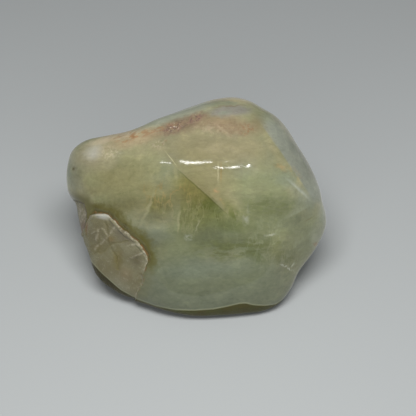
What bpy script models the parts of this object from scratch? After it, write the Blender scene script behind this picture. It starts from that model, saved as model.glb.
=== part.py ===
"""A palm-sized freeform of pale green beryl: one stone, polished all round, with a patch of rough natural skin.

The stone lies on a small flat face at z = 0, its long side along X and its broad polished front toward -Y.
Its body is star shaped about BODY_MIDDLE: soft flats bound it on every side, and the outline that it shows
along a line leaning LEAN above the front is a smooth closed curve through OUTLINE. Everything is in metres.
"""

import math

import bmesh
import bpy
import numpy as np
from mathutils import Vector, noise

# Driving dimensions
BODY_MIDDLE = (0.0, -0.0025, 0.0155)
LEAN = math.radians(40)
BLEND = 15.0

# Outline of the stone across the leaning line, from its middle: (to the right, up), anticlockwise
OUTLINE = (
    (0.0305, -0.0036),
    (0.0294, 0.0026),
    (0.0261, 0.0106),
    (0.0234, 0.0151),
    (0.0211, 0.0187),
    (0.0184, 0.0216),
    (0.0153, 0.0236),
    (0.0122, 0.0255),
    (0.0086, 0.0264),
    (0.0050, 0.0261),
    (-0.0017, 0.0241),
    (-0.0084, 0.0215),
    (-0.0187, 0.0177),
    (-0.0219, 0.0170),
    (-0.0268, 0.0157),
    (-0.0295, 0.0135),
    (-0.0306, 0.0107),
    (-0.0313, 0.0063),
    (-0.0310, 0.0036),
    (-0.0297, 0.0014),
    (-0.0289, -0.0020),
    (-0.0281, -0.0052),
    (-0.0272, -0.0080),
    (-0.0260, -0.0110),
    (-0.0240, -0.0156),
    (-0.0186, -0.0205),
    (-0.0126, -0.0226),
    (-0.0067, -0.0243),
    (-0.0007, -0.0252),
    (0.0052, -0.0250),
    (0.0112, -0.0246),
    (0.0153, -0.0242),
    (0.0184, -0.0230),
    (0.0203, -0.0213),
    (0.0221, -0.0188),
    (0.0236, -0.0155),
    (0.0281, -0.0093),
)

# Polished flats: degrees round from the front, degrees up, distance from the middle
FLATS = {
    "top": (-4, 61, 0.0197),
    "front": (0, 29, 0.0159),
    "front_foot": (5, 0, 0.0226),
    "right_shoulder": (74, 48, 0.0264),
    "right_front": (44, 11, 0.0246),
    "right_foot": (33, -5, 0.0260),
    "left_shoulder": (-50, 45, 0.0212),
    "left_front": (-62, 20, 0.0255),
    "skin": (-31, 12, 0.0210),
    "back_top": (176, 70, 0.0248),
    "back_slope": (182, 38, 0.0236),
    "back": (186, 2, 0.0230),
    "back_right": (126, 18, 0.0258),
    "back_left": (-126, 28, 0.0246),
    "left": (-92, 12, 0.0315),
    "right": (94, 2, 0.0320),
    "under": (0, -90, 0.0164),
    "under_front": (5, -65, 0.0212),
    "under_left": (-90, -62, 0.0198),
    "under_right": (85, -62, 0.0204),
    "under_back": (175, -62, 0.0194),
    "low_left": (-85, -35, 0.0260),
    "low_right": (88, -35, 0.0264),
    "low_back": (180, -38, 0.0232),
}

# Slow waviness left by hand polishing: (length of a wave, height)
WAVES = ((0.016, 0.00030), (0.007, 0.00008))

# Soft forms on the front, as (to the right, up) paths across the leaning line: path, half-width, rise
KNOB = (((-0.0262, 0.0096), (-0.0250, 0.0104)), 0.0050, 0.0004)
CREASE = (((0.0283, 0.0012), (0.0272, -0.0017), (0.0231, -0.0040), (0.0165, -0.0058)), 0.0018, -0.00028)
SOFT_FORMS = (KNOB, CREASE)

# The rough skin: the part of its rim that shows, closed by a loop beyond the stone's lower left
SKIN_RIM = (
    (-0.0277, -0.0067),
    (-0.0261, -0.0036),
    (-0.0252, -0.0018),
    (-0.0236, -0.0012),
    (-0.0218, -0.0011),
    (-0.0204, -0.0016),
    (-0.0186, -0.0034),
    (-0.0141, -0.0075),
    (-0.0127, -0.0089),
    (-0.0118, -0.0109),
    (-0.0115, -0.0127),
    (-0.0124, -0.0147),
    (-0.0129, -0.0157),
    (-0.0125, -0.0169),
    (-0.0132, -0.0183),
    (-0.0146, -0.0214),
    (-0.0180, -0.0280),
    (-0.0360, -0.0240),
    (-0.0350, -0.0085),
)
LIP_RISE, LIP_INSIDE, LIP_WIDTH = 0.00026, 0.00055, 0.00070
GROOVE_DEPTH, GROOVE_OUTSIDE, GROOVE_WIDTH = 0.00048, 0.00060, 0.00075
SKIN_RISE, SKIN_STEP = 0.00012, 0.00060
SKIN_GRAIN = ((0.0034, 0.00016), (0.0016, 0.00006))
RIM_FADE_LOW, RIM_FADE_HIGH = -0.0200, -0.0130
RIM_FADE_LEFT, RIM_FADE_RIGHT = -0.0262, -0.0236
RIM_LEAST = 0.30

# Three shallow faces meet in the skin's middle: fall to the right, fall upward, in metres a metre
SKIN_MIDDLE = (-0.0198, -0.0084)
SKIN_FACES = ((0.00, 0.06), (-0.05, -0.01), (0.03, -0.03))

# A lower ledge of skin between the rough patch and the knob
LEDGE_RIM = (
    (-0.0298, 0.0019),
    (-0.0266, 0.0011),
    (-0.0260, -0.0026),
    (-0.0272, -0.0064),
    (-0.0350, -0.0080),
    (-0.0350, 0.0030),
)
LEDGE_DROP, LEDGE_STEP = 0.00032, 0.00060

# The front relief dies away on the far side of the outline
FAR_FADE_START, FAR_FADE_END = -0.0010, -0.0060

# Mesh
SPHERE_STEPS = 5
FINE_RIM_INSIDE, FINE_RIM_OUTSIDE = 0.0011, 0.0014
FINE_LEDGE = 0.0006
FINE_CREASE = 0.0022
SHARP_EDGE = math.radians(40)

# Finish
BERYL_COLOUR = (0.205, 0.215, 0.125, 1.0)
BERYL_ROUGHNESS = 0.18


def clear_scene():
    """Removes whatever objects the scene holds."""
    for scene_object in list(bpy.data.objects):
        bpy.data.objects.remove(scene_object)


def direction(around, up):
    """Unit vector at an angle round from the front and an angle up, both in degrees."""
    turn, rise = math.radians(around), math.radians(up)
    return np.array((math.sin(turn) * math.cos(rise), -math.cos(turn) * math.cos(rise), math.sin(rise)))


def leaning_axes():
    """The axes of the outline: to the right, up across the leaning line, and along the line."""
    right = np.array((1.0, 0.0, 0.0))
    up = np.array((0.0, math.sin(LEAN), math.cos(LEAN)))
    along = np.array((0.0, -math.cos(LEAN), math.sin(LEAN)))
    return right, up, along


def smooth(value, start, end):
    """A soft step from 0 at start to 1 at end."""
    share = np.clip((value - start) / (end - start), 0.0, 1.0)
    return share * share * (3.0 - 2.0 * share)


def outline_radius(angle):
    """Radius of the smooth closed curve through the outline's points, at an angle from the right."""
    points = np.array(OUTLINE)
    angles = np.arctan2(points[:, 1], points[:, 0])
    order = np.argsort(angles)
    angles = angles[order]
    radii = np.hypot(points[:, 0], points[:, 1])[order]
    angles = np.concatenate((angles - 2.0 * math.pi, angles, angles + 2.0 * math.pi))
    radii = np.tile(radii, 3)
    slopes = np.gradient(radii, angles)
    start = np.searchsorted(angles, angle) - 1
    span = angles[start + 1] - angles[start]
    share = (angle - angles[start]) / span
    ends = radii[start] * (2 * share**3 - 3 * share**2 + 1) + radii[start + 1] * (3 * share**2 - 2 * share**3)
    bends = slopes[start] * (share**3 - 2 * share**2 + share) + slopes[start + 1] * (share**3 - share**2)
    return ends + span * bends


def reach(directions):
    """Distance from the middle to the soft meeting of all flats, along unit directions."""
    right, up, _ = leaning_axes()
    across, rise = directions @ right, directions @ up
    total = (np.hypot(across, rise) / outline_radius(np.arctan2(rise, across))) ** BLEND
    for around, above, distance in FLATS.values():
        total += np.clip(directions @ direction(around, above) / distance, 0.0, None) ** BLEND
    return total ** (-1.0 / BLEND)


def widest():
    """For angles round the leaning line: the angles, the flats' own outline and the widening it needs."""
    right, up, along = leaning_axes()
    angles = np.linspace(-math.pi, math.pi, 361)
    tilts = np.radians(np.linspace(30.0, 150.0, 241))
    angle, tilt = np.meshgrid(angles, tilts, indexing="ij")
    sideways = np.cos(angle)[..., None] * right + np.sin(angle)[..., None] * up
    directions = np.sin(tilt)[..., None] * sideways + np.cos(tilt)[..., None] * along
    distances = reach(directions.reshape(-1, 3)).reshape(angle.shape) * np.sin(tilt)
    own_outline = distances.max(axis=1)
    return angles, own_outline, outline_radius(angles) / own_outline


def body_points(directions):
    """Points of the plain body, from its middle, for unit directions."""
    right, up, along = leaning_axes()
    points = directions * reach(directions)[:, None]
    across, rise, depth = points @ right, points @ up, points @ along
    angle = np.arctan2(rise, across)
    angles, own_outline, widening = widest()
    share = np.hypot(across, rise) / np.interp(angle, angles, own_outline)
    wider = 1.0 + (np.interp(angle, angles, widening) - 1.0) * share**3
    return np.outer(across * wider, right) + np.outer(rise * wider, up) + np.outer(depth, along)


def from_path(places, path):
    """Distance of each place from a path of straight pieces."""
    nearest = np.full(len(places), np.inf)
    for start, end in zip(np.array(path[:-1]), np.array(path[1:])):
        piece = end - start
        share = np.clip((places - start) @ piece / (piece @ piece), 0.0, 1.0)
        gap = places - start - share[:, None] * piece
        nearest = np.minimum(nearest, np.hypot(gap[:, 0], gap[:, 1]))
    return nearest


def inside_loop(places, loop):
    """Distance inside a closed loop, less than zero outside it."""
    closed = loop + loop[:1]
    crossed = np.zeros(len(places), dtype=bool)
    for (start_x, start_y), (end_x, end_y) in zip(closed[:-1], closed[1:]):
        spans = (start_y > places[:, 1]) != (end_y > places[:, 1])
        rise = end_y - start_y if end_y != start_y else 1.0
        meets = start_x + (places[:, 1] - start_y) * (end_x - start_x) / rise
        crossed ^= spans & (places[:, 0] < meets)
    distance = from_path(places, closed)
    return np.where(crossed, distance, -distance)


def lumps(points, waves):
    """Smooth uneven heights over points in space, from waves given as (length, height)."""
    heights = np.zeros(len(points))
    for length, height in waves:
        heights += height * np.array([noise.noise(Vector(point) / length) for point in points])
    return heights


def skin_relief(places, points):
    """Heights of the rough skin: its rim's lip, the groove round it, its faces and its grain."""
    inside = inside_loop(places, SKIN_RIM)
    strength = RIM_LEAST + (1.0 - RIM_LEAST) * smooth(places[:, 1], RIM_FADE_LOW, RIM_FADE_HIGH)
    strength *= smooth(places[:, 0], RIM_FADE_LEFT, RIM_FADE_RIGHT)
    lip = LIP_RISE * np.exp(-(((inside - LIP_INSIDE) / LIP_WIDTH) ** 2))
    groove = GROOVE_DEPTH * np.exp(-(((inside + GROOVE_OUTSIDE) / GROOVE_WIDTH) ** 2))
    middle = places - np.array(SKIN_MIDDLE)
    faces = np.min([-middle @ np.array(fall) for fall in SKIN_FACES], axis=0)
    step = smooth(inside, 0.0, SKIN_STEP)
    return strength * (lip - groove) + step * (faces + SKIN_RISE + lumps(points, SKIN_GRAIN))


def relief(points):
    """Heights added to the plain body at its points."""
    right, up, along = leaning_axes()
    places = np.stack((points @ right, points @ up), axis=1)
    near = smooth(points @ along, FAR_FADE_END, FAR_FADE_START)
    heights = skin_relief(places, points)
    heights -= LEDGE_DROP * smooth(inside_loop(places, LEDGE_RIM), 0.0, LEDGE_STEP)
    for path, half_width, rise in SOFT_FORMS:
        heights += rise * np.exp(-((from_path(places, path) / half_width) ** 2))
    return near * heights + lumps(points, WAVES)


def split_edges(mesh, wanted):
    """Halves the edges whose middles are wanted, and cuts the faces round them into triangles."""
    edges = list(mesh.edges)
    middles = np.array([(edge.verts[0].co + edge.verts[1].co) / 2.0 for edge in edges])
    directions = middles / np.linalg.norm(middles, axis=1)[:, None]
    chosen = [edge for edge, split in zip(edges, wanted(body_points(directions))) if split]
    bmesh.ops.subdivide_edges(mesh, edges=chosen, cuts=1, use_grid_fill=True)
    bmesh.ops.triangulate(mesh, faces=list(mesh.faces))
    for vertex in mesh.verts:
        vertex.co.normalize()


def near_details(points):
    """Where the rough skin, its ledge or the crease lies."""
    right, up, along = leaning_axes()
    places = np.stack((points @ right, points @ up), axis=1)
    near = points @ along > FAR_FADE_END
    skin = inside_loop(places, SKIN_RIM) > -FINE_RIM_OUTSIDE
    ledge = inside_loop(places, LEDGE_RIM) > -FINE_LEDGE
    crease = from_path(places, CREASE[0]) < FINE_CREASE
    return near & (skin | ledge | crease)


def near_rims(points):
    """Where the skin's groove and lip or the ledge's step lies."""
    right, up, along = leaning_axes()
    places = np.stack((points @ right, points @ up), axis=1)
    inside = inside_loop(places, SKIN_RIM)
    rim = (inside > -FINE_RIM_OUTSIDE) & (inside < FINE_RIM_INSIDE)
    step = np.abs(inside_loop(places, LEDGE_RIM)) < FINE_LEDGE
    return (points @ along > FAR_FADE_END) & (rim | step)


def stone_mesh():
    """The whole stone as one closed mesh, flat at the bottom and centred over the origin."""
    shape = bmesh.new()
    bmesh.ops.create_icosphere(shape, subdivisions=SPHERE_STEPS, radius=1.0)
    split_edges(shape, near_details)
    split_edges(shape, near_rims)
    directions = np.array([vertex.co for vertex in shape.verts])
    directions /= np.linalg.norm(directions, axis=1)[:, None]
    points = body_points(directions)
    points += directions * relief(points)[:, None] + np.array(BODY_MIDDLE)
    for vertex, point in zip(shape.verts, points):
        vertex.co = point
    cut_flat(shape)
    centre_over_origin(shape)
    mesh = bpy.data.meshes.new("beryl_stone")
    shape.to_mesh(mesh)
    shape.free()
    return mesh


def cut_flat(shape):
    """Grinds the underside flat at z = 0, which leaves the face that the stone rests on."""
    everything = list(shape.verts) + list(shape.edges) + list(shape.faces)
    bmesh.ops.bisect_plane(
        shape, geom=everything, dist=1e-6, plane_co=(0.0, 0.0, 0.0), plane_no=(0.0, 0.0, 1.0), clear_inner=True
    )
    rim = [edge for edge in shape.edges if edge.is_boundary]
    bmesh.ops.contextual_create(shape, geom=rim)
    bmesh.ops.recalc_face_normals(shape, faces=list(shape.faces))


def centre_over_origin(shape):
    """Moves the stone sideways until its bounding box stands centred over the origin."""
    points = np.array([vertex.co for vertex in shape.verts])
    middle = (points.min(axis=0) + points.max(axis=0)) / 2.0
    bmesh.ops.translate(shape, verts=list(shape.verts), vec=(-middle[0], -middle[1], 0.0))


def beryl_finish():
    """Polished, milky, pale green beryl."""
    material = bpy.data.materials.new("pale_green_beryl")
    material.use_nodes = True
    surface = material.node_tree.nodes["Principled BSDF"]
    surface.inputs["Base Color"].default_value = BERYL_COLOUR
    surface.inputs["Roughness"].default_value = BERYL_ROUGHNESS
    surface.inputs["Metallic"].default_value = 0.0
    return material


def build():
    """Makes the stone and puts it in the scene."""
    clear_scene()
    mesh = stone_mesh()
    mesh.shade_smooth()
    mesh.set_sharp_from_angle(angle=SHARP_EDGE)
    mesh.materials.append(beryl_finish())
    stone = bpy.data.objects.new("beryl_stone", mesh)
    bpy.context.scene.collection.objects.link(stone)


build()
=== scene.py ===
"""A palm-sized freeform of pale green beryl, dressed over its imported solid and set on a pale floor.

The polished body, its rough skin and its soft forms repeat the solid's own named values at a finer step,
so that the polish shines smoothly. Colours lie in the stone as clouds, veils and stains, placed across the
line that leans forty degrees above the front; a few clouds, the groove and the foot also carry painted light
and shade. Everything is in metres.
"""

import logging
import math
from collections.abc import Callable
from dataclasses import dataclass, field
from enum import Enum

import bmesh
import bpy
import numpy as np
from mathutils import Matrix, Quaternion, Vector, noise


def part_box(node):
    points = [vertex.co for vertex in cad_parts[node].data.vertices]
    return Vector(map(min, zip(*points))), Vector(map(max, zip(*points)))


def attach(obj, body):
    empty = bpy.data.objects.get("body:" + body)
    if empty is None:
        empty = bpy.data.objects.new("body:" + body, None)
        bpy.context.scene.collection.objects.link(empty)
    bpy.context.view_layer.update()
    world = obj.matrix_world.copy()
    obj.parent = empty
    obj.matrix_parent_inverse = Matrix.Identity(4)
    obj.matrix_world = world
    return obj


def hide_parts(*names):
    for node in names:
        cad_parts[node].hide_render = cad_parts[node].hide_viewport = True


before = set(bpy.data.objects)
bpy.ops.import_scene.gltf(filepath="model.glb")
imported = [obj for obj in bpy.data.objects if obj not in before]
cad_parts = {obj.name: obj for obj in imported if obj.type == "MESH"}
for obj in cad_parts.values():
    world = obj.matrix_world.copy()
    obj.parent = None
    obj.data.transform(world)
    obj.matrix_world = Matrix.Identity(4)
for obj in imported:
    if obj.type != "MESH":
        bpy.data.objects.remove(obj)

LOG = logging.getLogger("beryl")
NODE = "beryl_stone"

Pair = tuple[float, float]
Triple = tuple[float, float, float]
Path = tuple[Pair, ...]
Colour = tuple[float, float, float, float]
Socket = bpy.types.NodeSocket
Feed = Socket | float | tuple


def display(red: float, green: float, blue: float) -> Colour:
    """Turns a display colour into the linear colour that shaders take.

    Args:
        red: Red, from 0 to 255.
        green: Green, from 0 to 255.
        blue: Blue, from 0 to 255.

    Returns:
        The linear colour with full alpha.
    """
    shares = [value / 255.0 for value in (red, green, blue)]
    linear = [share / 12.92 if share < 0.04045 else ((share + 0.055) / 1.055) ** 2.4 for share in shares]
    return (linear[0], linear[1], linear[2], 1.0)


def smooth(value: np.ndarray, start: float, end: float) -> np.ndarray:
    """Gives a soft step.

    Args:
        value: The values to step.
        start: Where the step leaves 0.
        end: Where the step reaches 1.

    Returns:
        Shares from 0 to 1.
    """
    share = np.clip((value - start) / (end - start), 0.0, 1.0)
    return share * share * (3.0 - 2.0 * share)


def from_path(places: np.ndarray, path: Path) -> np.ndarray:
    """Measures places from a path of straight pieces.

    Args:
        places: Places across the leaning line, one to a row.
        path: The path's points.

    Returns:
        The distance of each place from the path.
    """
    nearest = np.full(len(places), np.inf)
    for start, end in zip(np.array(path[:-1]), np.array(path[1:])):
        piece = end - start
        share = np.clip((places - start) @ piece / (piece @ piece), 0.0, 1.0)
        gap = places - start - share[:, None] * piece
        nearest = np.minimum(nearest, np.hypot(gap[:, 0], gap[:, 1]))
    return nearest


def inside_loop(places: np.ndarray, loop: Path) -> np.ndarray:
    """Measures how far places lie inside a closed loop.

    Args:
        places: Places across the leaning line, one to a row.
        loop: The loop's points.

    Returns:
        The distance inside the loop, less than zero outside it.
    """
    closed = loop + loop[:1]
    crossed = np.zeros(len(places), dtype=bool)
    for (start_x, start_y), (end_x, end_y) in zip(closed[:-1], closed[1:]):
        spans = (start_y > places[:, 1]) != (end_y > places[:, 1])
        rise = end_y - start_y if end_y != start_y else 1.0
        meets = start_x + (places[:, 1] - start_y) * (end_x - start_x) / rise
        crossed ^= spans & (places[:, 0] < meets)
    distance = from_path(places, closed)
    return np.where(crossed, distance, -distance)


def lumps(points: np.ndarray, waves: tuple[Pair, ...]) -> np.ndarray:
    """Gives smooth uneven heights over points in space.

    Args:
        points: Points from the stone's middle, one to a row.
        waves: Each wave's length and height.

    Returns:
        The height at each point.
    """
    heights = np.zeros(len(points))
    for length, height in waves:
        heights += height * np.array([noise.noise(Vector(point) / length) for point in points])
    return heights


@dataclass(frozen=True)
class LeaningLine:
    """The line along which the stone is looked at, leaning above the front."""

    lean: float = math.radians(40)

    @property
    def right(self) -> np.ndarray:
        """The axis to the right."""
        return np.array((1.0, 0.0, 0.0))

    @property
    def up(self) -> np.ndarray:
        """The axis upward across the line."""
        return np.array((0.0, math.sin(self.lean), math.cos(self.lean)))

    @property
    def along(self) -> np.ndarray:
        """The axis along the line, toward the viewer."""
        return np.array((0.0, -math.cos(self.lean), math.sin(self.lean)))

    def places(self, points: np.ndarray) -> np.ndarray:
        """Gives where points lie across the line.

        Args:
            points: Points from the stone's middle, one to a row.

        Returns:
            How far each lies to the right and up.
        """
        return np.stack((points @ self.right, points @ self.up), axis=1)


@dataclass
class PolishedBody:
    """The stone's plain body: soft flats all round and one smooth outline across the leaning line."""

    line: LeaningLine
    blend: float = 15.0
    around_steps: int = 361
    tilt_steps: int = 241
    tilts: Pair = (30.0, 150.0)
    outline: Path = (
        (0.0305, -0.0036),
        (0.0294, 0.0026),
        (0.0261, 0.0106),
        (0.0234, 0.0151),
        (0.0211, 0.0187),
        (0.0184, 0.0216),
        (0.0153, 0.0236),
        (0.0122, 0.0255),
        (0.0086, 0.0264),
        (0.0050, 0.0261),
        (-0.0017, 0.0241),
        (-0.0084, 0.0215),
        (-0.0187, 0.0177),
        (-0.0219, 0.0170),
        (-0.0268, 0.0157),
        (-0.0295, 0.0135),
        (-0.0306, 0.0107),
        (-0.0313, 0.0063),
        (-0.0310, 0.0036),
        (-0.0297, 0.0014),
        (-0.0289, -0.0020),
        (-0.0281, -0.0052),
        (-0.0272, -0.0080),
        (-0.0260, -0.0110),
        (-0.0240, -0.0156),
        (-0.0186, -0.0205),
        (-0.0126, -0.0226),
        (-0.0067, -0.0243),
        (-0.0007, -0.0252),
        (0.0052, -0.0250),
        (0.0112, -0.0246),
        (0.0153, -0.0242),
        (0.0184, -0.0230),
        (0.0203, -0.0213),
        (0.0221, -0.0188),
        (0.0236, -0.0155),
        (0.0281, -0.0093),
    )
    flats: dict[str, Triple] = field(
        default_factory=lambda: {
            "top": (-4, 61, 0.0197),
            "front": (0, 29, 0.0159),
            "front_foot": (5, 0, 0.0226),
            "right_shoulder": (74, 48, 0.0264),
            "right_front": (44, 11, 0.0246),
            "right_foot": (33, -5, 0.0260),
            "left_shoulder": (-50, 45, 0.0212),
            "left_front": (-62, 20, 0.0255),
            "skin": (-31, 12, 0.0210),
            "back_top": (176, 70, 0.0248),
            "back_slope": (182, 38, 0.0236),
            "back": (186, 2, 0.0230),
            "back_right": (126, 18, 0.0258),
            "back_left": (-126, 28, 0.0246),
            "left": (-92, 12, 0.0315),
            "right": (94, 2, 0.0320),
            "under": (0, -90, 0.0164),
            "under_front": (5, -65, 0.0212),
            "under_left": (-90, -62, 0.0198),
            "under_right": (85, -62, 0.0204),
            "under_back": (175, -62, 0.0194),
            "low_left": (-85, -35, 0.0260),
            "low_right": (88, -35, 0.0264),
            "low_back": (180, -38, 0.0232),
        }
    )

    @staticmethod
    def direction(around: float, above: float) -> np.ndarray:
        """Gives a unit vector.

        Args:
            around: Degrees round from the front.
            above: Degrees up.

        Returns:
            The vector.
        """
        turn, rise = math.radians(around), math.radians(above)
        return np.array((math.sin(turn) * math.cos(rise), -math.cos(turn) * math.cos(rise), math.sin(rise)))

    def outline_radius(self, angle: np.ndarray) -> np.ndarray:
        """Gives the radius of the smooth closed curve through the outline's points.

        Args:
            angle: Angles from the right, in radians.

        Returns:
            The radius at each angle.
        """
        points = np.array(self.outline)
        angles = np.arctan2(points[:, 1], points[:, 0])
        order = np.argsort(angles)
        angles = angles[order]
        radii = np.hypot(points[:, 0], points[:, 1])[order]
        angles = np.concatenate((angles - 2.0 * math.pi, angles, angles + 2.0 * math.pi))
        radii = np.tile(radii, 3)
        slopes = np.gradient(radii, angles)
        start = np.searchsorted(angles, angle) - 1
        span = angles[start + 1] - angles[start]
        share = (angle - angles[start]) / span
        rest = 1.0 - share
        ends = radii[start] * rest**2 * (1.0 + 2.0 * share) + radii[start + 1] * share**2 * (1.0 + 2.0 * rest)
        bends = slopes[start] * share * rest**2 - slopes[start + 1] * share**2 * rest
        return ends + span * bends

    def reach(self, directions: np.ndarray) -> np.ndarray:
        """Gives the distance from the middle to the soft meeting of all flats.

        Args:
            directions: Unit vectors, one to a row.

        Returns:
            The distance along each.
        """
        across, rise = self.line.places(directions).T
        total = (np.hypot(across, rise) / self.outline_radius(np.arctan2(rise, across))) ** self.blend
        for around, above, distance in self.flats.values():
            facing = directions @ self.direction(around, above)
            total += np.clip(facing / distance, 0.0, None) ** self.blend
        return total ** (-1.0 / self.blend)

    def widening(self) -> tuple[np.ndarray, np.ndarray, np.ndarray]:
        """Works out how much the flats' own outline has to widen to meet the outline's curve.

        Returns:
            Angles round the leaning line, the flats' own outline there, and the widening.
        """
        angles = np.linspace(-math.pi, math.pi, self.around_steps)
        tilts = np.radians(np.linspace(*self.tilts, self.tilt_steps))
        angle, tilt = np.meshgrid(angles, tilts, indexing="ij")
        sideways = np.cos(angle)[..., None] * self.line.right + np.sin(angle)[..., None] * self.line.up
        directions = np.sin(tilt)[..., None] * sideways + np.cos(tilt)[..., None] * self.line.along
        distances = self.reach(directions.reshape(-1, 3)).reshape(angle.shape) * np.sin(tilt)
        own_outline = distances.max(axis=1)
        return angles, own_outline, self.outline_radius(angles) / own_outline

    def points(self, directions: np.ndarray) -> np.ndarray:
        """Gives the body's points.

        Args:
            directions: Unit vectors, one to a row.

        Returns:
            A point for each, from the middle.
        """
        points = directions * self.reach(directions)[:, None]
        across, rise = self.line.places(points).T
        depth = points @ self.line.along
        angle = np.arctan2(rise, across)
        angles, own_outline, widening = self.widening()
        share = np.hypot(across, rise) / np.interp(angle, angles, own_outline)
        wider = 1.0 + (np.interp(angle, angles, widening) - 1.0) * share**3
        sideways = np.outer(across * wider, self.line.right) + np.outer(rise * wider, self.line.up)
        return sideways + np.outer(depth, self.line.along)


@dataclass(frozen=True)
class SoftForm:
    """A low rise or hollow along a path across the leaning line."""

    path: Path
    half_width: float
    rise: float

    def heights(self, places: np.ndarray) -> np.ndarray:
        """Gives the form's height at places across the leaning line."""
        return self.rise * np.exp(-((from_path(places, self.path) / self.half_width) ** 2))


@dataclass
class RoughSkin:
    """The patch of natural skin, with its lip, the groove round it and the lower ledge beside it."""

    rim: Path = (
        (-0.0277, -0.0067),
        (-0.0261, -0.0036),
        (-0.0252, -0.0018),
        (-0.0236, -0.0012),
        (-0.0218, -0.0011),
        (-0.0204, -0.0016),
        (-0.0186, -0.0034),
        (-0.0141, -0.0075),
        (-0.0127, -0.0089),
        (-0.0118, -0.0109),
        (-0.0115, -0.0127),
        (-0.0124, -0.0147),
        (-0.0129, -0.0157),
        (-0.0125, -0.0169),
        (-0.0132, -0.0183),
        (-0.0146, -0.0214),
        (-0.0180, -0.0280),
        (-0.0360, -0.0240),
        (-0.0350, -0.0085),
    )
    ledge: Path = (
        (-0.0298, 0.0019),
        (-0.0266, 0.0011),
        (-0.0260, -0.0026),
        (-0.0272, -0.0064),
        (-0.0350, -0.0080),
        (-0.0350, 0.0030),
    )
    rim_waves: tuple[Pair, ...] = ((0.0021, 0.00032), (0.0009, 0.00018))
    rim_apart: float = 0.05
    lip_rise: float = 0.00026
    lip_waves: tuple[Pair, ...] = ((0.0024, 1.6), (0.0011, 0.8))
    lip_usual: float = 0.8
    lip_most: float = 1.6
    lip_inside: float = 0.00036
    lip_width: float = 0.00032
    groove_depth: float = 0.00018
    groove_outside: float = 0.00032
    groove_width: float = 0.00042
    skin_rise: float = 0.00012
    skin_step: float = 0.00045
    ledge_drop: float = 0.00032
    ledge_step: float = 0.00045
    rim_fade_rise: Pair = (-0.0170, -0.0115)
    rim_fade_across: Pair = (-0.0262, -0.0236)
    rim_least: float = 0.30
    faces: tuple[Triple, ...] = (
        (0.00, 0.09, 0.00040),
        (-0.10, -0.02, 0.00030),
        (0.10, 0.05, 0.00034),
        (0.03, -0.06, 0.00022),
        (0.09, -0.05, 0.00040),
    )
    middle: Pair = (-0.0198, -0.0084)
    grain: tuple[Pair, ...] = ((0.0034, 0.00012), (0.0016, 0.00004))
    crests: tuple[Path, ...] = (
        ((-0.0222, -0.0048), (-0.0206, -0.0064), (-0.0190, -0.0043)),
        ((-0.0122, -0.0100), (-0.0152, -0.0114)),
        ((-0.0126, -0.0082), (-0.0160, -0.0086)),
        ((-0.0246, -0.0060), (-0.0232, -0.0050), (-0.0236, -0.0078)),
        ((-0.0206, -0.0064), (-0.0240, -0.0098)),
    )
    creases: tuple[Path, ...] = (
        ((-0.0212, -0.0035), (-0.0205, -0.0055), (-0.0203, -0.0085), (-0.0189, -0.0112), (-0.0186, -0.0142)),
        ((-0.0203, -0.0085), (-0.0220, -0.0101), (-0.0249, -0.0107)),
        ((-0.0203, -0.0085), (-0.0160, -0.0075)),
        ((-0.0272, -0.0020), (-0.0263, -0.0030), (-0.0262, -0.0064)),
    )
    line_width: float = 0.00022
    line_height: float = 0.00013

    def rim_wander(self, places: np.ndarray) -> np.ndarray:
        """Gives places pushed about a little, so that the rim runs unevenly.

        Args:
            places: Places across the leaning line, one to a row.

        Returns:
            The moved places.
        """
        spread = np.column_stack((places, np.zeros(len(places))))
        shifts = [lumps(spread + apart, self.rim_waves) for apart in (0.0, self.rim_apart)]
        return places + np.stack(shifts, axis=1)

    def strength(self, places: np.ndarray) -> np.ndarray:
        """Gives how strong the lip and the groove are at places across the leaning line."""
        low = self.rim_least + (1.0 - self.rim_least) * smooth(places[:, 1], *self.rim_fade_rise)
        return low * smooth(places[:, 0], *self.rim_fade_across)

    def heights(self, places: np.ndarray, points: np.ndarray) -> np.ndarray:
        """Gives the relief of the skin and its ledge.

        Args:
            places: Where the points lie across the leaning line.
            points: The points from the stone's middle.

        Returns:
            The height at each point.
        """
        wandered = self.rim_wander(places)
        inside = inside_loop(wandered, self.rim)
        uneven = np.clip(self.lip_usual + lumps(points, self.lip_waves), 0.0, self.lip_most)
        lip = uneven * self.lip_rise * np.exp(-(((inside - self.lip_inside) / self.lip_width) ** 2))
        groove = self.groove_depth * np.exp(-(((inside + self.groove_outside) / self.groove_width) ** 2))
        middle = places - np.array(self.middle)
        faces = np.min([level - middle @ np.array(fall) for *fall, level in self.faces], axis=0)
        lines = self.line_height * (self.lines(wandered, self.crests) - self.lines(wandered, self.creases))
        step = smooth(inside, 0.0, self.skin_step)
        skin = step * (faces + lines + self.skin_rise + lumps(points, self.grain))
        ledge = self.ledge_drop * smooth(inside_loop(wandered, self.ledge), 0.0, self.ledge_step)
        return self.strength(places) * (lip - groove) + skin - ledge

    def lines(self, places: np.ndarray, paths: tuple[Path, ...]) -> np.ndarray:
        """Gives how near places lie to any of some lines.

        Args:
            places: Places across the leaning line, one to a row.
            paths: The lines.

        Returns:
            Shares from 0 to 1 on a line.
        """
        nearest = np.min([from_path(places, path) for path in paths], axis=0)
        return np.exp(-((nearest / self.line_width) ** 2))


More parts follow.
